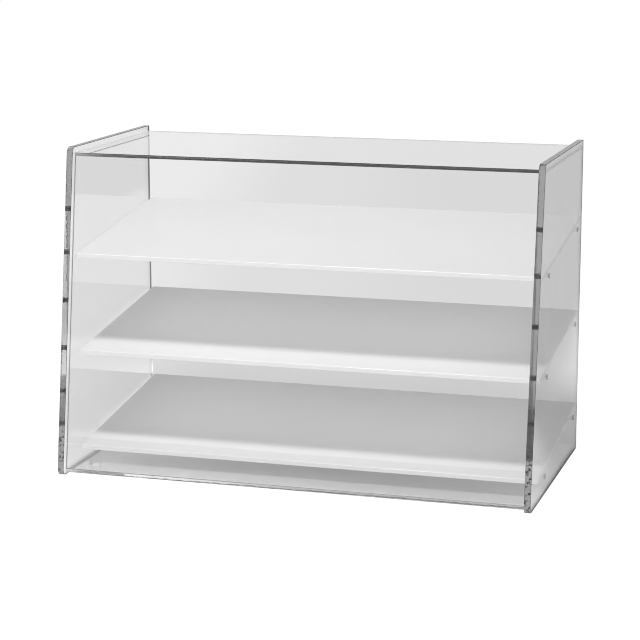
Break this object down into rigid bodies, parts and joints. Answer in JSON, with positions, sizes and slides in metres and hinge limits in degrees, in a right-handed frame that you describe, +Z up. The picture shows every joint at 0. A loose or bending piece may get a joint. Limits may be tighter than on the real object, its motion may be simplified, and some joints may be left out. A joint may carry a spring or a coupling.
{
  "type": "countertop display case",
  "caption": "Clear acrylic countertop display case with a slanted front, an open back and removable sloping white trays on pegs.",
  "frame": {"origin": "on the surface that the case stands on, under the middle of the whole part's box", "axes": "+X runs along the width, to the right as seen from the front; +Y runs from the slanted front to the open back; +Z is up"},
  "size_m": [0.59, 0.3137, 0.4],
  "materials": {
    "clear_side_sheet": "clear cast acrylic sheet, polished faces and polished edges",
    "clear_thin_sheet": "clear cast acrylic sheet, thinner, polished faces and edges",
    "white_opal_sheet": "opaque white opal acrylic sheet, smooth with a soft gloss",
    "clear_rod": "clear acrylic rod, polished"
  },
  "bodies": {
    "case": {"left_side_panel": "clear_side_sheet", "right_side_panel": "clear_side_sheet", "front_panel": "clear_thin_sheet", "top_panel": "clear_thin_sheet", "base_panel": "clear_thin_sheet", "lower_left_rear_peg": "clear_rod", "lower_left_front_peg": "clear_rod", "lower_right_rear_peg": "clear_rod", "lower_right_front_peg": "clear_rod", "middle_left_rear_peg": "clear_rod", "middle_left_front_peg": "clear_rod", "middle_right_rear_peg": "clear_rod", "middle_right_front_peg": "clear_rod", "upper_left_rear_peg": "clear_rod", "upper_left_front_peg": "clear_rod", "upper_right_rear_peg": "clear_rod", "upper_right_front_peg": "clear_rod"},
    "upper_tray": {"upper_tray": "white_opal_sheet"},
    "middle_tray": {"middle_tray": "white_opal_sheet"},
    "lower_tray": {"lower_tray": "white_opal_sheet"}
  },
  "joints": [
    {"name": "upper_tray_slide", "type": "slide", "parent": "case", "child": "upper_tray", "axis": [0, 0.9913, 0.1314], "range_m": [0, 0.26]},
    {"name": "middle_tray_slide", "type": "slide", "parent": "case", "child": "middle_tray", "axis": [0, 0.9913, 0.1314], "range_m": [0, 0.26]},
    {"name": "lower_tray_slide", "type": "slide", "parent": "case", "child": "lower_tray", "axis": [0, 0.9913, 0.1314], "range_m": [0, 0.26]}
  ]
}
